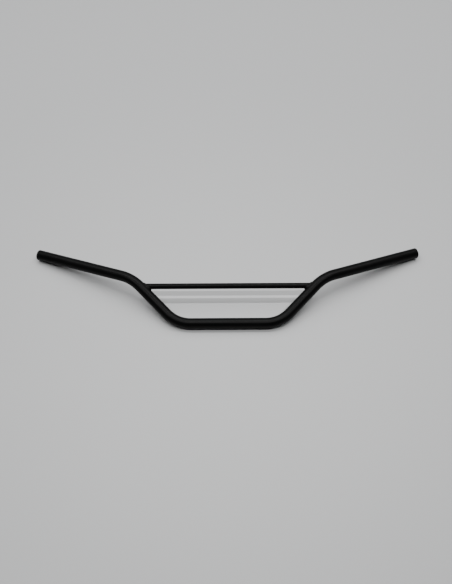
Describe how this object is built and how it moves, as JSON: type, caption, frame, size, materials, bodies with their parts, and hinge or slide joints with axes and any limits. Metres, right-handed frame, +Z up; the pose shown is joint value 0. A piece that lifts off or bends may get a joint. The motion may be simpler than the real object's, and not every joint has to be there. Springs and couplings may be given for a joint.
{
  "type": "motorcycle handlebar",
  "caption": "Bent steel off-road handlebar, satin black, with rising uprights, swept-back grip ends and a welded crossbar.",
  "frame": {"origin": "middle of the clamp section, on the main tube's axis", "axes": "+X along the clamp section to the rider's side, +Y horizontally towards the grip ends, +Z up from the level surface that the bar lies on with its clamp section and both grip ends"},
  "size_m": [0.8214, 0.1967, 0.053],
  "materials": {
    "tube_coating": "satin black powder coat on steel tube",
    "crossbar_coating": "satin black powder coat on steel tube",
    "weld_coating": "satin black powder coat over a rippled weld bead"
  },
  "bodies": {
    "root": {"main_tube": "tube_coating", "crossbar": "crossbar_coating", "weld_right": "weld_coating", "weld_left": "weld_coating"}
  },
  "joints": []
}
